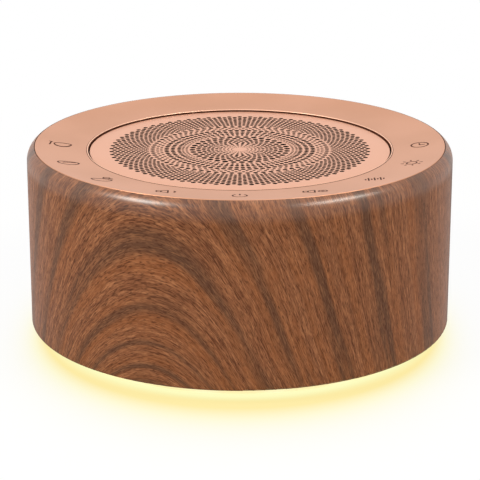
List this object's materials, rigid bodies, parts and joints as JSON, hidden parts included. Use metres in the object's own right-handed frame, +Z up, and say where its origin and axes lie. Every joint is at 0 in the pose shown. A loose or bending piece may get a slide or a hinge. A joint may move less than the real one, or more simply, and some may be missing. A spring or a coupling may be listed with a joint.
{
  "type": "table-top sound machine",
  "caption": "Round wood-grain sound machine with a dished rose-gold touch ring, a rosette grille over an upward loudspeaker and a warm ring of light under its base.",
  "frame": {"origin": "centre of the body's axis on the table top that it stands on", "axes": "+Z up along the body's axis, -Y towards the front with the icons, +Y towards the charging socket"},
  "size_m": [0.12, 0.12, 0.0557],
  "materials": {
    "wood_shell": "satin walnut-like grain",
    "rose_ring": "rose-gold metallic paint, satin",
    "rose_grille": "rose-gold anodised, satin",
    "black_cloth": "fine black dust cloth",
    "dark_plastic": "fine moulded grain",
    "green_board": "solder mask",
    "ribbon_film": "flat film",
    "pressed_steel": "black paint",
    "plated_steel": "zinc plated",
    "ferrite": "sintered, matt",
    "amber_cloth": "resin-dipped cloth",
    "black_rubber": "matt",
    "foam_gasket": "closed foam",
    "brass_tags": "tinned",
    "chip_plastic": "moulded",
    "can_aluminium": "drawn can",
    "ivory_plastic": "moulded",
    "pouch_foil": "matt foil pouch",
    "foam_tape": "double-sided foam",
    "white_board": "white solder mask",
    "led_yellow": "phosphor under clear resin",
    "milky_diffuser": "milky, lit warm from inside",
    "foot_rubber": "matt silicone",
    "red_lead": "insulation",
    "white_lead": "insulation",
    "copper_wire": "enamelled copper",
    "paper_cone": "pressed paper"
  },
  "bodies": {
    "housing": {"outer_shell": "wood_shell", "control_ring": "rose_ring", "speaker_grille": "rose_grille", "grille_cloth": "black_cloth", "top_frame": "dark_plastic", "touch_board": "green_board", "touch_ribbon": "ribbon_film", "speaker_basket": "pressed_steel", "speaker_top_plate": "plated_steel", "speaker_magnet": "ferrite", "speaker_yoke": "plated_steel", "spider": "amber_cloth", "surround": "black_rubber", "speaker_gasket": "foam_gasket", "speaker_terminals": "brass_tags", "speaker_screws": "plated_steel", "main_board": "green_board", "board_screws": "plated_steel", "chips": "chip_plastic", "capacitors": "can_aluminium", "inductor": "ferrite", "board_connectors": "ivory_plastic", "usb_inlet": "plated_steel", "battery_cell": "pouch_foil", "battery_tape": "foam_tape", "base_cover": "dark_plastic", "base_screws": "plated_steel", "led_board": "white_board", "leds": "led_yellow", "light_diffuser": "milky_diffuser", "foot_ring": "foot_rubber", "speaker_leads": "red_lead", "battery_leads": "red_lead", "led_leads": "white_lead"},
    "speaker_cone": {"voice_coil": "copper_wire", "cone": "paper_cone", "dust_cap": "paper_cone"}
  },
  "joints": [
    {"name": "cone_travel", "type": "slide", "parent": "housing", "child": "speaker_cone", "axis": [0, 0, 1], "range_m": [-0.0015, 0.0015], "stiffness_N_per_m": 1500, "deforming": ["surround", "spider"]}
  ]
}
